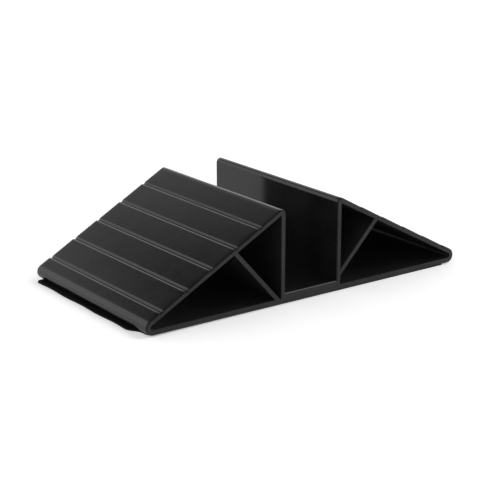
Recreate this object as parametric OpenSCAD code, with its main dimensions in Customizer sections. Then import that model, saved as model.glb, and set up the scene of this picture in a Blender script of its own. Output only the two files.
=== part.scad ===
// Double-sided threshold ramp: a black hollow plastic profile, cut to a short length.
// Two closed ramp sections rise to a channel between them, and a thin grip pad is bonded
// under the whole base. The profile is drawn in the X-Z plane and runs along Y.
// Origin: middle of the channel, on the underside of the pad. +Z is up.
// The plastic is one extrusion. Its walls are separate solids here that meet face to face.

/* [Profile] */
// Length over both noses, up one ramp and down the other
span = 120; // [100:1:160]
// Height from the pad's underside to the crests
height = 30; // [24:0.5:40]
// Length of the cut piece, along the profile
depth = 65; // [30:1:300]

/* [Channel] */
// Clear width between the two channel walls
channel_w = 20; // [12:0.5:30]
// Thickness of the channel's floor
floor_t = 3.1; // [1.6:0.1:4]

/* [Walls] */
// Thickness of the two upright channel walls
wall_t = 1.6; // [1:0.1:2.4]
// Thickness of the sloping decks, measured square to the slope
deck_t = 1.6; // [1.2:0.1:2]
// Thickness of the flat base under each ramp
base_t = 1.6; // [1:0.1:2]
// Radius of the crest, where a channel wall turns over into its deck
crest_r = 1.5; // [0.8:0.1:2.5]
// Outside radius of the nose, where a deck turns under into its base
nose_r = 2.4; // [2.1:0.1:3.5]
// Radius of the hollow's tip inside the nose
tip_r = 0.8; // [0.4:0.1:1]

/* [Treads] */
// Distance between two grooves, along the slope
tread_pitch = 10; // [6:0.5:16]
// Distance from the crest to the first groove's lip, along the slope
tread_first = 9.3; // [5:0.1:14]
// Width of a groove, along the slope
groove_w = 1.9; // [1:0.1:3]
// Width of the steep side of a groove, below the lip of the next tread
groove_lip_w = 0.7; // [0.3:0.1:0.9]
// Depth of a groove below its lip
groove_d = 0.4; // [0.2:0.05:0.6]
// Fall of a tread below the line of the lips, by its lower end
tread_fall = 0.12; // [0:0.02:0.2]
// Plain length kept between the last lip and the nose
tread_end = 3; // [2:0.5:8]

/* [Braces] */
// Thickness of the diagonal braces
brace_t = 1.4; // [0.8:0.1:2]
// Right brace: height of its foot on the channel wall, above the plastic's underside
right_foot_z = 5.5; // [4:0.1:8]
// Right brace: how far from the channel wall it meets the deck
right_head_x = 14.2; // [8:0.1:20]
// Left brace: how far from the channel wall its foot stands on the base
left_foot_x = 1.35; // [1.2:0.05:4]
// Left brace: how far from the channel wall it meets the deck
left_head_x = 16.8; // [8:0.1:20]

/* [Pad] */
// Thickness of the grip pad
pad_t = 0.4; // [0.3:0.1:2]
// How far the pad stands out past the left nose
pad_over_left = 1.6; // [0:0.1:4]
// How far the pad stops short of the right nose
pad_short_right = 3.4; // [0:0.1:8]
// How far the pad's long edges lie inside the cut ends
pad_inset = 1.15; // [1:0.05:4]
// How far the pad is turned, because it was laid on by hand (degrees)
pad_turn = -0.5; // [-0.6:0.1:0]
// Radius of the pad's corners
pad_corner_r = 3; // [0.5:0.5:6]

/* [Hidden] */
$fn = 96;
LEFT = -1;
RIGHT = 1;

PLASTIC = [0.085, 0.085, 0.09];
PLASTIC_LIGHT = [0.13, 0.13, 0.135];
RUBBER = [0.04, 0.04, 0.04];

// Straight stretch that a wall or a nose keeps before it hands over to the next piece
tab = 0.6;
// Points on each side of a groove
groove_steps = 6;
// Longer than any straight line inside the profile
reach = span;
// Width of a groove's easy fall; its flat bottom is the rest
groove_fall_w = (groove_w - groove_lip_w) * 0.65;

// Levels and places of one ramp, with x measured outwards from the middle of the channel
wall_in = channel_w / 2;
wall_out = wall_in + wall_t;
under_z = pad_t;
base_top_z = under_z + base_t;
crest_c = [wall_in + crest_r, height - crest_r];
nose_c = [span / 2 - nose_r, under_z + nose_r];

// The deck's outer line touches both the crest's circle and the nose's circle
slope = atan2(crest_c[1] - nose_c[1], nose_c[0] - crest_c[0])
    - asin((nose_r - crest_r) / norm(nose_c - crest_c));
down = [cos(slope), -sin(slope)];
out = [sin(slope), cos(slope)];
deck_start = crest_c + crest_r * out;
deck_len = (nose_c + nose_r * out - deck_start) * down;

// A point s along the slope from the crest, and n outwards from the line of the lips
function on_deck(s, n = 0) = deck_start + s * down + n * out;

// The hollow's tip touches the base's top and the deck's underside
tip_n = -deck_t - tip_r;
tip_s = (on_deck(0, tip_n)[1] - base_top_z - tip_r) / sin(slope);
tip_c = on_deck(tip_s, tip_n);

// Where a deck starts and ends along the slope, and where a base ends
deck_from = tab + max(0, (wall_out - on_deck(0, -deck_t)[0]) / cos(slope));
deck_to = min(deck_len, tip_s) - tab;
base_end_x = min(nose_c[0], tip_c[0]) - tab;
tread_count = floor((deck_to + tab - tread_first - tread_end) / tread_pitch) + 1;

// Height of the deck's underside at x
function deck_under_z(x) =
    let (p = on_deck(0, -deck_t)) p[1] - (x - p[0]) * tan(slope);
// Points on a circle, from one angle to another, with steps + 1 points
function arc(c, r, from, to, steps) =
    [for (i = [0:steps]) let (a = from + (to - from) * i / steps) c + r * [cos(a), sin(a)]];

// One groove, ending at its lip: an easy fall from the tread above, a flat bottom, then a steep
// rise that rounds over into the next tread
function groove(lip) = concat(
    [for (i = [0:groove_steps])
        let (u = i / groove_steps)
        on_deck(lip - groove_w + u * groove_fall_w,
                -tread_fall - (groove_d - tread_fall) * (1 - cos(180 * u)) / 2)],
    [for (i = [0:groove_steps])
        let (a = 90 * i / groove_steps)
        on_deck(lip - groove_lip_w * cos(a), -groove_d * (1 - sin(a)))]
);

// Extrudes a profile along Y, on the left or on the right of the channel
module run(side) {
    mirror([side < 0 ? 1 : 0, 0, 0])
        rotate([90, 0, 0])
            linear_extrude(height = depth, center = true)
                children();
}

// Outline of the hollow inside a ramp, up to where the nose starts
module hollow() {
    polygon([
        [wall_out, base_top_z],
        [base_end_x, base_top_z],
        [base_end_x, deck_under_z(base_end_x)],
        [wall_out, deck_under_z(wall_out)]
    ]);
}

// Upright channel wall, with the round crest and the start of the deck
module wall(side) {
    color(PLASTIC)
        run(side)
            polygon(concat(
                [[wall_out, under_z], [wall_in, under_z]],
                arc(crest_c, crest_r, 180, 90 - slope, 16),
                [on_deck(deck_from), on_deck(deck_from, -deck_t)],
                [[wall_out, deck_under_z(wall_out)]]
            ));
}

// Sloping deck with its transverse grooves
module deck(side) {
    color(PLASTIC_LIGHT)
        run(side)
            polygon(concat(
                [on_deck(deck_from, -deck_t), on_deck(deck_from)],
                [for (i = [0:tread_count - 1]) each groove(tread_first + i * tread_pitch)],
                [on_deck(deck_to), on_deck(deck_to, -deck_t)]
            ));
}

// Diagonal brace between two points, trimmed by the hollow that it stands in
module brace(side, foot, head) {
    along = (head - foot) / norm(head - foot);
    across = [-along[1], along[0]] * brace_t / 2;
    low = foot - along * reach / 2;
    high = foot + along * reach;
    color(PLASTIC)
        run(side)
            intersection() {
                hollow();
                polygon([low - across, high - across, high + across, low + across]);
            }
}

// Rounded nose that joins a deck to its base
module nose(side) {
    color(PLASTIC_LIGHT)
        run(side)
            polygon(concat(
                [[base_end_x, under_z]],
                arc(nose_c, nose_r, -90, 90 - slope, 24),
                [on_deck(deck_to), on_deck(deck_to, -deck_t)],
                arc(tip_c, tip_r, 90 - slope, -90, 16),
                [[base_end_x, base_top_z]]
            ));
}

// Flat base under a ramp
module base(side) {
    color(PLASTIC)
        run(side)
            translate([wall_out, under_z])
                square([base_end_x - wall_out, base_t]);
}

// Floor of the channel, between the two walls
module channel_floor() {
    color(PLASTIC)
        run(RIGHT)
            translate([-wall_in, under_z])
                square([channel_w, floor_t]);
}

module left_wall() { wall(LEFT); }
module left_deck() { deck(LEFT); }
module left_nose() { nose(LEFT); }
module left_base() { base(LEFT); }
module right_wall() { wall(RIGHT); }
module right_deck() { deck(RIGHT); }
module right_nose() { nose(RIGHT); }
module right_base() { base(RIGHT); }

// The left brace stands on the base, close to the foot of the channel wall
module left_brace() {
    head_x = wall_out + left_head_x;
    brace(LEFT, [wall_out + left_foot_x, base_top_z], [head_x, deck_under_z(head_x)]);
}

// The right brace springs from the channel wall, a little above the base
module right_brace() {
    head_x = wall_out + right_head_x;
    brace(RIGHT, [wall_out, under_z + right_foot_z], [head_x, deck_under_z(head_x)]);
}

// Thin grip pad under the whole base, laid on a little askew and past the left nose
module grip_pad() {
    pad_l = span + pad_over_left - pad_short_right;
    pad_w = depth - 2 * pad_inset;
    color(RUBBER)
        translate([-(pad_over_left + pad_short_right) / 2, 0, 0])
            rotate([0, 0, pad_turn])
                linear_extrude(height = pad_t) {
                    square([pad_l - 2 * pad_corner_r, pad_w], center = true);
                    square([pad_l, pad_w - 2 * pad_corner_r], center = true);
                    for (x = [-1, 1], y = [-1, 1])
                        translate([x * (pad_l / 2 - pad_corner_r), y * (pad_w / 2 - pad_corner_r)])
                            circle(r = pad_corner_r);
                }
}

channel_floor();
left_wall();
left_deck();
left_brace();
left_nose();
left_base();
right_wall();
right_deck();
right_brace();
right_nose();
right_base();
grip_pad();
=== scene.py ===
"""Looks of the double-sided threshold ramp: satin black extruded plastic on a thin grip pad.

Every wall of the extrusion is built again from the section of its CAD node, with the cut ends
rounded, so the pieces are the CAD's own shapes and meet without a visible seam.
"""

import math

import bpy
from mathutils import Matrix, Vector


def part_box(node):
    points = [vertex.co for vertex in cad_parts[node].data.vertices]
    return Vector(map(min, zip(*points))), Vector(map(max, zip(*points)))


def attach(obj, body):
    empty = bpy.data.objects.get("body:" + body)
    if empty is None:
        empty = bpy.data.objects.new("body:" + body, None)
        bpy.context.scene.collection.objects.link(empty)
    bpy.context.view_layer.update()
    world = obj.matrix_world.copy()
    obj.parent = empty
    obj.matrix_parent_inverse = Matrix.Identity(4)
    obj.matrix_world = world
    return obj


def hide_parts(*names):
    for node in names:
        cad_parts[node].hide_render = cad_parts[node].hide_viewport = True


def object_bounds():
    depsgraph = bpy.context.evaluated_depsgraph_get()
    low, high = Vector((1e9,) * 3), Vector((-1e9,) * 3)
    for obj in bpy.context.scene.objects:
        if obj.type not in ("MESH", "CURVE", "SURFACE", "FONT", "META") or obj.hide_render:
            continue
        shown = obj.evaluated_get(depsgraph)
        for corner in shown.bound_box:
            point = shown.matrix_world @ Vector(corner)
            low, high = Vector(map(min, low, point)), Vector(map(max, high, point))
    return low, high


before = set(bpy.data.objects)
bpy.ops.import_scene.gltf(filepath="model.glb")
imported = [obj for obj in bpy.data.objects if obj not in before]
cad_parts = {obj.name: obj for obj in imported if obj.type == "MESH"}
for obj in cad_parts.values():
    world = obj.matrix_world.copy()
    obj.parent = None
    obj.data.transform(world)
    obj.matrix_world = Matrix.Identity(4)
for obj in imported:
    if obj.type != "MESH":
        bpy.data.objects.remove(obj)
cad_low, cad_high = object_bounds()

MM = 0.001

# The camera, as the photograph's viewpoint: angles in degrees, places in metres, lens in millimetres
CAMERA_AZIMUTH = -36.28
CAMERA_ELEVATION = 17.42
CAMERA_ROLL = 0.007
CAMERA_DISTANCE = 466.8 * MM
CAMERA_TARGET = Vector((-0.172, -0.878, 7.423)) * MM
CAMERA_LENS = 103.84

# The cut ends: their rounding on faces that look up, on faces that look down and in the hollows, and
# how many steps a rounding and the run between the cuts have
DECK_ROUND = 0.45 * MM
UNDER_ROUND = 0.15 * MM
HOLLOW_ROUND = 0.12 * MM
ROUND_STEPS = 4
RUN_STEPS = 26

# The grip pad: its cut size, how it lies (a little turned, and nearer the front than its CAD solid),
# and how finely its mesh is divided
PAD_LENGTH = 118.2 * MM
PAD_WIDTH = 62.7 * MM
PAD_TURN = math.radians(-0.5)
PAD_FORWARD = 0.6 * MM
PAD_CORNER = 2.0 * MM
PAD_EDGE_ROUND = 0.1 * MM
CORNER_ROWS = 6
PAD_ROWS = 48
FLAP_COLUMNS = 10
HELD_COLUMNS = 40

# The pad's loose flap past the left nose: how far its edge lies in, how it waves and where it is trimmed
FLAP_SHORT = 0.6 * MM
FLAP_SLANT = 0.014
FLAP_WAVE = 0.14 * MM
FLAP_WAVE_LENGTH = 19 * MM
FLAP_LIFT = 0.2 * MM
FLAP_TRIM = 2.4 * MM
FLAP_TRIM_FROM = -22.5 * MM
FLAP_TRIM_TO = -27.5 * MM

# How bright the studio is, from its sides (0) to straight overhead (1), and how much a direction's
# lean towards the sides takes off its height
STUDIO_GLOW = [
    (0.0, 1.05), (0.38, 0.95), (0.48, 0.60), (0.54, 0.38), (0.575, 0.20),
    (0.60, 0.06), (0.65, 0.04), (0.80, 0.12), (1.0, 0.25),
]
STUDIO_LEAN = 0.9

# The floor: its half width, its gap under the pad, its greys for light and for the eye, and how
# much whiter than its lit self it looks from the camera
FLOOR_HALF_WIDTH = 3.0
FLOOR_GAP = 0.02 * MM
FLOOR_FOR_LIGHT = (0.80, 0.80, 0.80, 1)
FLOOR_FOR_EYE = (0.97, 0.97, 0.97, 1)
FLOOR_LIFT = 0.32

# Noise scales of the materials' cloudy colour and of their uneven gloss
CLOUD_SCALE = 140.0
GLOSS_SCALE = 900.0

# Edges between faces that meet at more than this stay sharp
SHARP_ANGLE = math.radians(32)

# Slots of the meshes' materials
SLOT_SKIN, SLOT_CUT, SLOT_EDGE, SLOT_HOLLOW, SLOT_LOW_EDGE = range(5)

# Nodes whose cut edges shine more than the rest: they keep the skin's grey, while the other cut edges get
# a painted darker shade
LOW_NODES = ("channel_floor", "left_base", "right_base")


# ---------------------------------------------------------------- camera and stage

def make_camera():
    """A camera that looks at the target from the photograph's side, turned by its roll."""
    azimuth, elevation, roll = (math.radians(a) for a in (CAMERA_AZIMUTH, CAMERA_ELEVATION, CAMERA_ROLL))
    back = Vector((
        math.sin(azimuth) * math.cos(elevation),
        -math.cos(azimuth) * math.cos(elevation),
        math.sin(elevation),
    ))
    level_right = Vector((math.cos(azimuth), math.sin(azimuth), 0))
    level_up = back.cross(level_right)
    right = level_right * math.cos(roll) + level_up * math.sin(roll)
    up = level_up * math.cos(roll) - level_right * math.sin(roll)
    data = bpy.data.cameras.new("camera")
    data.sensor_width = 36
    data.lens = CAMERA_LENS
    data.clip_start = 0.01
    data.clip_end = 20
    camera = bpy.data.objects.new("camera", data)
    place = Matrix((right, up, back)).transposed().to_4x4()
    place.translation = CAMERA_TARGET + back * CAMERA_DISTANCE
    camera.matrix_world = place
    bpy.context.scene.collection.objects.link(camera)
    bpy.context.scene.camera = camera


def new_nodes(tree):
    """Empties a node tree and returns a function that adds a node with its settings and inputs."""
    tree.nodes.clear()

    def add(kind, settings=None, **inputs):
        node = tree.nodes.new(kind)
        for name, value in (settings or {}).items():
            setattr(node, name, value)
        for name, value in inputs.items():
            socket = node.inputs[name.replace("_", " ")]
            if isinstance(value, bpy.types.NodeSocket):
                tree.links.new(value, socket)
            else:
                socket.default_value = value
        return node

    return add


def ramp_node(add, factor, stops):
    """A colour ramp through (position, grey value) stops."""
    node = add("ShaderNodeValToRGB", Fac=factor)
    elements = node.color_ramp.elements
    while len(elements) < len(stops):
        elements.new(0.5)
    for element, (position, grey) in zip(elements, stops):
        element.position = position
        element.color = (grey, grey, grey, 1)
    return node.outputs["Color"]


def make_world():
    """A white studio with bright sides and a darker strip overhead, and plain white to the camera."""
    world = bpy.data.worlds.new("studio")
    bpy.context.scene.world = world
    world.use_nodes = True
    tree = world.node_tree
    add = new_nodes(tree)
    coords = add("ShaderNodeTexCoord")
    split = add("ShaderNodeSeparateXYZ", Vector=coords.outputs["Generated"])
    aside = add("ShaderNodeMath", {"operation": "ABSOLUTE"})
    tree.links.new(split.outputs["X"], aside.inputs[0])
    overhead = add("ShaderNodeMath", {"operation": "MULTIPLY_ADD"})
    tree.links.new(aside.outputs[0], overhead.inputs[0])
    overhead.inputs[1].default_value = -STUDIO_LEAN
    tree.links.new(split.outputs["Z"], overhead.inputs[2])
    glow = ramp_node(add, overhead.outputs[0], STUDIO_GLOW)
    path = add("ShaderNodeLightPath")
    lit = add("ShaderNodeBackground", Color=glow, Strength=1.0)
    seen = add("ShaderNodeBackground", Color=(1, 1, 1, 1), Strength=1.0)
    mix = add("ShaderNodeMixShader")
    tree.links.new(path.outputs["Is Camera Ray"], mix.inputs[0])
    tree.links.new(lit.outputs[0], mix.inputs[1])
    tree.links.new(seen.outputs[0], mix.inputs[2])
    add("ShaderNodeOutputWorld", Surface=mix.outputs[0])


def make_floor():
    """A wide plain white floor under the pad, which keeps the object's soft shadow."""
    half = FLOOR_HALF_WIDTH
    corners = [(-half, -half, 0), (half, -half, 0), (half, half, 0), (-half, half, 0)]
    mesh = bpy.data.meshes.new("floor")
    mesh.from_pydata(corners, [], [(0, 1, 2, 3)])
    floor = bpy.data.objects.new("floor", mesh)
    floor.location.z = cad_low.z - FLOOR_GAP
    bpy.context.scene.collection.objects.link(floor)
    material = bpy.data.materials.new("floor_white")
    material.use_nodes = True
    tree = material.node_tree
    add = new_nodes(tree)
    path = add("ShaderNodeLightPath")
    mirrored = add("ShaderNodeMath", {"operation": "MAXIMUM"})
    tree.links.new(path.outputs["Is Glossy Ray"], mirrored.inputs[0])
    tree.links.new(path.outputs["Is Transmission Ray"], mirrored.inputs[1])
    looked_at = add("ShaderNodeMath", {"operation": "MAXIMUM"})
    tree.links.new(path.outputs["Is Camera Ray"], looked_at.inputs[0])
    tree.links.new(mirrored.outputs[0], looked_at.inputs[1])
    for_light = add("ShaderNodeBsdfDiffuse", Color=FLOOR_FOR_LIGHT)
    for_eye = add("ShaderNodeBsdfDiffuse", Color=FLOOR_FOR_EYE)
    paper = add("ShaderNodeMixShader")
    tree.links.new(looked_at.outputs[0], paper.inputs[0])
    tree.links.new(for_light.outputs[0], paper.inputs[1])
    tree.links.new(for_eye.outputs[0], paper.inputs[2])
    whiter = add("ShaderNodeEmission", Color=(FLOOR_LIFT, FLOOR_LIFT, FLOOR_LIFT, 1))
    tree.links.new(path.outputs["Is Camera Ray"], whiter.inputs["Strength"])
    surface = add("ShaderNodeAddShader")
    tree.links.new(paper.outputs[0], surface.inputs[0])
    tree.links.new(whiter.outputs[0], surface.inputs[1])
    add("ShaderNodeOutputMaterial", Surface=surface.outputs[0])
    mesh.materials.append(material)


def make_light(name, place, target, size, power):
    """A soft square lamp that faces the target."""
    data = bpy.data.lights.new(name, "AREA")
    data.shape = "RECTANGLE"
    data.size, data.size_y = size
    data.energy = power
    lamp = bpy.data.objects.new(name, data)
    lamp.location = place
    lamp.rotation_mode = "QUATERNION"
    lamp.rotation_quaternion = (Vector(target) - Vector(place)).to_track_quat("-Z", "Y")
    bpy.context.scene.collection.objects.link(lamp)


# ---------------------------------------------------------------- materials

def make_material(name, base, roughness, bumps, specular=0.5):
    """A procedural plastic or rubber.

    base is two greys that a soft noise mixes, roughness is its low and high value, and bumps is a
    list of (stretch of the coordinates, noise scale, strength, distance).
    """
    material = bpy.data.materials.new(name)
    material.use_nodes = True
    tree = material.node_tree
    add = new_nodes(tree)
    place = add("ShaderNodeTexCoord").outputs["Object"]
    cloud = add("ShaderNodeTexNoise", Vector=place, Scale=CLOUD_SCALE, Detail=4.0, Roughness=0.55)
    colour = ramp_node(add, cloud.outputs["Fac"], [(0.35, base[0]), (0.65, base[1])])
    fine = add("ShaderNodeTexNoise", Vector=place, Scale=GLOSS_SCALE, Detail=3.0)
    rough = add("ShaderNodeMapRange", Value=fine.outputs["Fac"])
    rough.inputs["From Min"].default_value = 0.3
    rough.inputs["From Max"].default_value = 0.7
    rough.inputs["To Min"].default_value = roughness[0]
    rough.inputs["To Max"].default_value = roughness[1]
    normal = None
    for stretch, scale, strength, distance in bumps:
        mapped = add("ShaderNodeMapping", Vector=place, Scale=stretch)
        grain = add("ShaderNodeTexNoise", Vector=mapped.outputs[0], Scale=scale, Detail=3.0)
        bump = add("ShaderNodeBump", Height=grain.outputs["Fac"], Strength=strength, Distance=distance)
        if normal is not None:
            tree.links.new(normal, bump.inputs["Normal"])
        normal = bump.outputs["Normal"]
    shader = add("ShaderNodeBsdfPrincipled", Base_Color=colour, Roughness=rough.outputs[0])
    shader.inputs["Specular IOR Level"].default_value = specular
    tree.links.new(normal, shader.inputs["Normal"])
    add("ShaderNodeOutputMaterial", Surface=shader.outputs[0])
    return material


def plastic_materials():
    """Skin, cut face, cut edge with its painted dark shade, hollow and low cut edge of the extrusion, in
    the order of their slots.
    """
    skin = make_material(
        "extruded_plastic", base=(0.008, 0.012), roughness=(0.10, 0.15),
        bumps=[((1, 0.03, 1), 260.0, 0.35, 0.03 * MM), ((1, 0.02, 1), 1800.0, 0.05, 0.004 * MM)],
    )
    cut = make_material(
        "saw_cut_plastic", base=(0.011, 0.018), roughness=(0.45, 0.6),
        bumps=[((1, 1, 0.08), 5000.0, 0.5, 0.05 * MM), ((1, 1, 1), 9000.0, 0.3, 0.03 * MM)], specular=0.4,
    )
    # The rounded cut edges get a darker grey than the skin: painted shade for the dark line that their
    # rounding shows
    edge = make_material(
        "cut_edge_painted_shade_plastic", base=(0.004, 0.007), roughness=(0.25, 0.32),
        bumps=[((1, 1, 1), 3000.0, 0.15, 0.01 * MM)], specular=0.2,
    )
    hollow = make_material(
        "hollow_plastic", base=(0.008, 0.012), roughness=(0.42, 0.52),
        bumps=[((1, 0.03, 1), 600.0, 0.4, 0.05 * MM)], specular=0.4,
    )
    low_edge = make_material(
        "low_edge_plastic", base=(0.008, 0.012), roughness=(0.15, 0.2),
        bumps=[((1, 1, 1), 3000.0, 0.15, 0.01 * MM)],
    )
    return [skin, cut, edge, hollow, low_edge]


# ---------------------------------------------------------------- the extrusion's walls

GRID = 1e6  # corners are compared on a grid of a thousandth of a millimetre
TOUCHING = 2  # a corner fewer steps of the grid than this from an edge lies on it


def corner(point):
    """A point of the section as whole thousandths of a millimetre, (x, z)."""
    return (round(point.x * GRID), round(point.z * GRID))


def section(node):
    """Corners of a node's section in order, anticlockwise from the front, read at its front cut."""
    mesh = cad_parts[node].data
    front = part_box(node)[0].y
    edges = set()
    for face in mesh.polygons:
        points = [mesh.vertices[i].co for i in face.vertices]
        if all(abs(p.y - front) < 1 / GRID for p in points):
            corners = [corner(p) for p in points]
            edges.update(zip(corners, corners[1:] + corners[:1]))
    follows = {a: b for a, b in edges if (b, a) not in edges and a != b}
    start = min(follows)
    loop = [start]
    while follows[loop[-1]] != start:
        loop.append(follows[loop[-1]])
    return loop


def with_touching_corners(loop, others):
    """The loop, with every corner of the other pieces that lies on one of its edges put in."""
    result = []
    for a, b in zip(loop, loop[1:] + loop[:1]):
        result.append(a)
        span = Vector((b[0] - a[0], b[1] - a[1]))
        on_edge = []
        for p in others:
            step = Vector((p[0] - a[0], p[1] - a[1]))
            along = step.dot(span) / span.length
            aside = abs(step.x * span.y - step.y * span.x) / span.length
            if aside < TOUCHING and TOUCHING < along < span.length - TOUCHING:
                on_edge.append((along, p))
        result.extend(p for _, p in sorted(set(on_edge)))
    return result


def merged(loops):
    """Brings corners that are within two thousandths of a millimetre of each other to one place."""
    known = {}

    def settle(p):
        for dx in (0, -1, 1, -2, 2):
            for dz in (0, -1, 1, -2, 2):
                q = (p[0] + dx, p[1] + dz)
                if q in known:
                    return known[q]
        known[p] = p
        return p

    return {name: [settle(p) for p in loop] for name, loop in loops.items()}


def insets(loops):
    """How each corner of the whole section moves where a cut end is rounded, (x, z, radius), and the
    edges that face a hollow."""
    edges = {(a, b) for loop in loops.values() for a, b in zip(loop, loop[1:] + loop[:1])}
    free = {a: b for a, b in edges if (b, a) not in edges}
    moves = {}
    hollow_edges = set()
    waiting = set(free)
    while waiting:
        start = min(waiting)
        ring = [start]
        while free[ring[-1]] != start:
            ring.append(free[ring[-1]])
        waiting -= set(ring)
        turned = list(zip(ring, ring[1:] + ring[:1]))
        area = sum(a[0] * b[1] - b[0] * a[1] for a, b in turned)
        if area < 0:
            hollow_edges.update(turned)
        inward = [Vector((a[1] - b[1], b[0] - a[0])).normalized() for a, b in turned]
        for i, p in enumerate(ring):
            before, after = inward[i - 1], inward[i]
            looks_up = 0.5 - (before + after).normalized().y / 2
            radius = HOLLOW_ROUND if area < 0 else UNDER_ROUND + (DECK_ROUND - UNDER_ROUND) * looks_up
            move = (before + after) * (radius / (1 + before.dot(after)))
            moves[p] = (move.x, move.y, radius)
    return moves, hollow_edges


def stations(front, rear):
    """Places along the run, (y, way, angle).

    At a cut they are the cut's y, the way into the run and the angle of the rounding. Between the cuts
    the way is 0 and the angle a right angle, so a place stays where its y is.
    """
    angles = [math.pi / 2 * k / ROUND_STEPS for k in range(ROUND_STEPS + 1)]
    first = [(front, 1, a) for a in angles]
    last = [(rear, -1, a) for a in reversed(angles)]
    between = [
        (front + (rear - front) * k / RUN_STEPS, 0, math.pi / 2) for k in range(1, RUN_STEPS)
    ]
    return first + between + last


def build_wall(node, loop, moves, hollow_edges, materials):
    """One wall of the extrusion: its section run from cut to cut, with rounded ends."""
    low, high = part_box(node)
    rings = stations(low.y, high.y)
    points, faces, slots = [], [], []
    for end_y, way, angle in rings:
        for p in loop:
            move_x, move_z, radius = moves[p]
            share = 1 - math.sin(angle)
            y = end_y + way * radius * (1 - math.cos(angle))
            points.append((p[0] / GRID + move_x * share, y, p[1] / GRID + move_z * share))
    n = len(loop)
    last = len(rings) - 1
    edge_slot = SLOT_LOW_EDGE if node in LOW_NODES else SLOT_EDGE
    faces.append(tuple(range(n)))
    slots.append(SLOT_CUT)
    for r in range(last):
        rounded = r < ROUND_STEPS or r >= last - ROUND_STEPS
        for i in range(n):
            j = (i + 1) % n
            faces.append((r * n + j, r * n + i, (r + 1) * n + i, (r + 1) * n + j))
            if (loop[i], loop[j]) in hollow_edges:
                slots.append(SLOT_HOLLOW)
            else:
                slots.append(edge_slot if rounded else SLOT_SKIN)
    faces.append(tuple(last * n + i for i in reversed(range(n))))
    slots.append(SLOT_CUT)

    mesh = bpy.data.meshes.new(node + "_extruded")
    mesh.from_pydata(points, [], faces)
    for material in materials:
        mesh.materials.append(material)
    mesh.polygons.foreach_set("material_index", slots)
    mesh.polygons.foreach_set("use_smooth", [True] * len(faces))
    mesh.set_sharp_from_angle(angle=SHARP_ANGLE)
    mesh.validate()
    piece = bpy.data.objects.new(node + "_extruded", mesh)
    bpy.context.scene.collection.objects.link(piece)
    weighted = piece.modifiers.new("flat_faces_stay_flat", "WEIGHTED_NORMAL")
    weighted.keep_sharp = True
    weighted.weight = 100
    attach(piece, "root")
    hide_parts(node)


def build_extrusion():
    """All walls of the extrusion, each standing for its CAD node."""
    names = [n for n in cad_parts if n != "grip_pad"]
    loops = merged({n: section(n) for n in sorted(names)})
    others = {}
    for name in loops:
        others[name] = set().union(*(set(loop) for n, loop in loops.items() if n != name))
    loops = {name: with_touching_corners(loop, others[name]) for name, loop in loops.items()}
    moves, hollow_edges = insets(loops)
    materials = plastic_materials()
    for name, loop in loops.items():
        build_wall(name, loop, moves, hollow_edges, materials)


# ---------------------------------------------------------------- the grip pad

def smooth_step(x):
    """Rises from 0 to 1 with level ends while x goes from 0 to 1."""
    x = min(max(x, 0.0), 1.0)
    return x * x * (3 - 2 * x)


def pad_rows():
    """Places across the pad's width: close together round its corners, even between them."""
    turns = [math.pi / 2 * k / CORNER_ROWS for k in range(CORNER_ROWS)]
    inner = PAD_WIDTH / 2 - PAD_CORNER
    corner_rows = [inner + PAD_CORNER * math.cos(a) for a in turns]
    even_rows = [inner * (1 - 2 * k / PAD_ROWS) for k in range(PAD_ROWS + 1)]
    return [-y for y in corner_rows] + even_rows[::-1] + corner_rows[::-1]


def corner_step(y):
    """How far the pad's short edges lie inside its ends at y, because its corners are round."""
    into = max(0.0, abs(y) - (PAD_WIDTH / 2 - PAD_CORNER))
    return PAD_CORNER - math.sqrt(max(0.0, PAD_CORNER ** 2 - into ** 2))


def flap_edge(y):
    """How far the loose left edge lies inside the pad's full length at y.

    It lies in a little all along, isn't cut quite square and is wavy, and its near end is cut away.
    """
    wave = FLAP_WAVE * math.sin(2 * math.pi * y / FLAP_WAVE_LENGTH)
    trim = FLAP_TRIM * smooth_step((y - FLAP_TRIM_FROM) / (FLAP_TRIM_TO - FLAP_TRIM_FROM))
    return FLAP_SHORT + trim + wave - FLAP_SLANT * y


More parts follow.
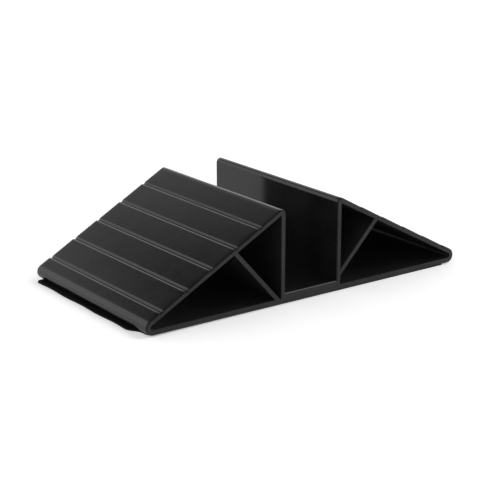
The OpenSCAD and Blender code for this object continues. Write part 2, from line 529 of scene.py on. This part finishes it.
def build_pad(materials):
    """The grip pad: a thin sheet that is flat under the body and waves a little past the left nose."""
    low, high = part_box("grip_pad")
    middle = (low + high) / 2
    thick = high.z - low.z
    held_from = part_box("left_base")[0].x - middle.x
    rows = pad_rows()
    columns = FLAP_COLUMNS + HELD_COLUMNS + 1
    top, under = [], []
    for y in rows:
        left = -PAD_LENGTH / 2 + corner_step(y) + flap_edge(y)
        right = PAD_LENGTH / 2 - corner_step(y)
        for k in range(columns):
            if k < FLAP_COLUMNS:
                x = left + (held_from - left) * k / FLAP_COLUMNS
            else:
                x = held_from + (right - held_from) * (k - FLAP_COLUMNS) / HELD_COLUMNS
            loose = max(0.0, (held_from - x) / (held_from + PAD_LENGTH / 2))
            lift = FLAP_LIFT * loose ** 2 * (0.5 + 0.5 * math.cos(2 * math.pi * y / FLAP_WAVE_LENGTH))
            place = Vector((
                x * math.cos(PAD_TURN) - y * math.sin(PAD_TURN),
                x * math.sin(PAD_TURN) + y * math.cos(PAD_TURN),
                lift,
            ))
            under.append(place + Vector((middle.x, middle.y - PAD_FORWARD, low.z)))
            top.append(place + Vector((middle.x, middle.y - PAD_FORWARD, low.z + thick)))
    points = under + top
    above = len(under)
    faces = []
    last_row = len(rows) - 1
    for r in range(last_row):
        for k in range(columns - 1):
            a = r * columns + k
            quad = (a, a + 1, a + 1 + columns, a + columns)
            faces.append(tuple(above + i for i in quad))
            faces.append(tuple(reversed(quad)))
    rim = list(range(columns))
    rim += [r * columns + columns - 1 for r in range(1, last_row + 1)]
    rim += [last_row * columns + k for k in range(columns - 2, -1, -1)]
    rim += [r * columns for r in range(last_row - 1, 0, -1)]
    for i, j in zip(rim, rim[1:] + rim[:1]):
        faces.append((i, j, above + j, above + i))
    mesh = bpy.data.meshes.new("grip_sheet")
    mesh.from_pydata(points, [], faces)
    for material in materials:
        mesh.materials.append(material)
    mesh.polygons.foreach_set("material_index", [0] * (len(faces) - len(rim)) + [1] * len(rim))
    mesh.polygons.foreach_set("use_smooth", [True] * len(faces))
    mesh.validate()
    pad = bpy.data.objects.new("grip_sheet", mesh)
    bpy.context.scene.collection.objects.link(pad)
    soft_edge = pad.modifiers.new("soft_edge", "BEVEL")
    soft_edge.limit_method = "ANGLE"
    soft_edge.angle_limit = math.radians(50)
    soft_edge.width = PAD_EDGE_ROUND
    soft_edge.segments = 2
    soft_edge.harden_normals = True
    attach(pad, "root")
    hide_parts("grip_pad")


def rubber_materials():
    """The pad's matt black face, and its cut edge, which is painted a lighter grey as a highlight for its
    lit rim.
    """
    grain = [((1, 1, 1), 3000.0, 0.4, 0.03 * MM), ((1, 1, 1), 400.0, 0.2, 0.05 * MM)]
    face = make_material(
        "grip_rubber", base=(0.003, 0.005), roughness=(0.6, 0.8), bumps=grain, specular=0.15,
    )
    # The pad's cut edge gets a lighter grey than its face: a painted highlight for its rim catching the
    # light
    edge = make_material(
        "rubber_edge_painted_highlight", base=(0.010, 0.018), roughness=(0.6, 0.8), bumps=grain, specular=0.25,
    )
    return [face, edge]


make_camera()
make_world()
make_floor()
make_light("key", place=(0.50, -0.27, 0.70), target=(0, 0, 0), size=(0.45, 0.45), power=1.4)
build_extrusion()
build_pad(rubber_materials())

scene = bpy.context.scene
scene.view_settings.view_transform = "Standard"
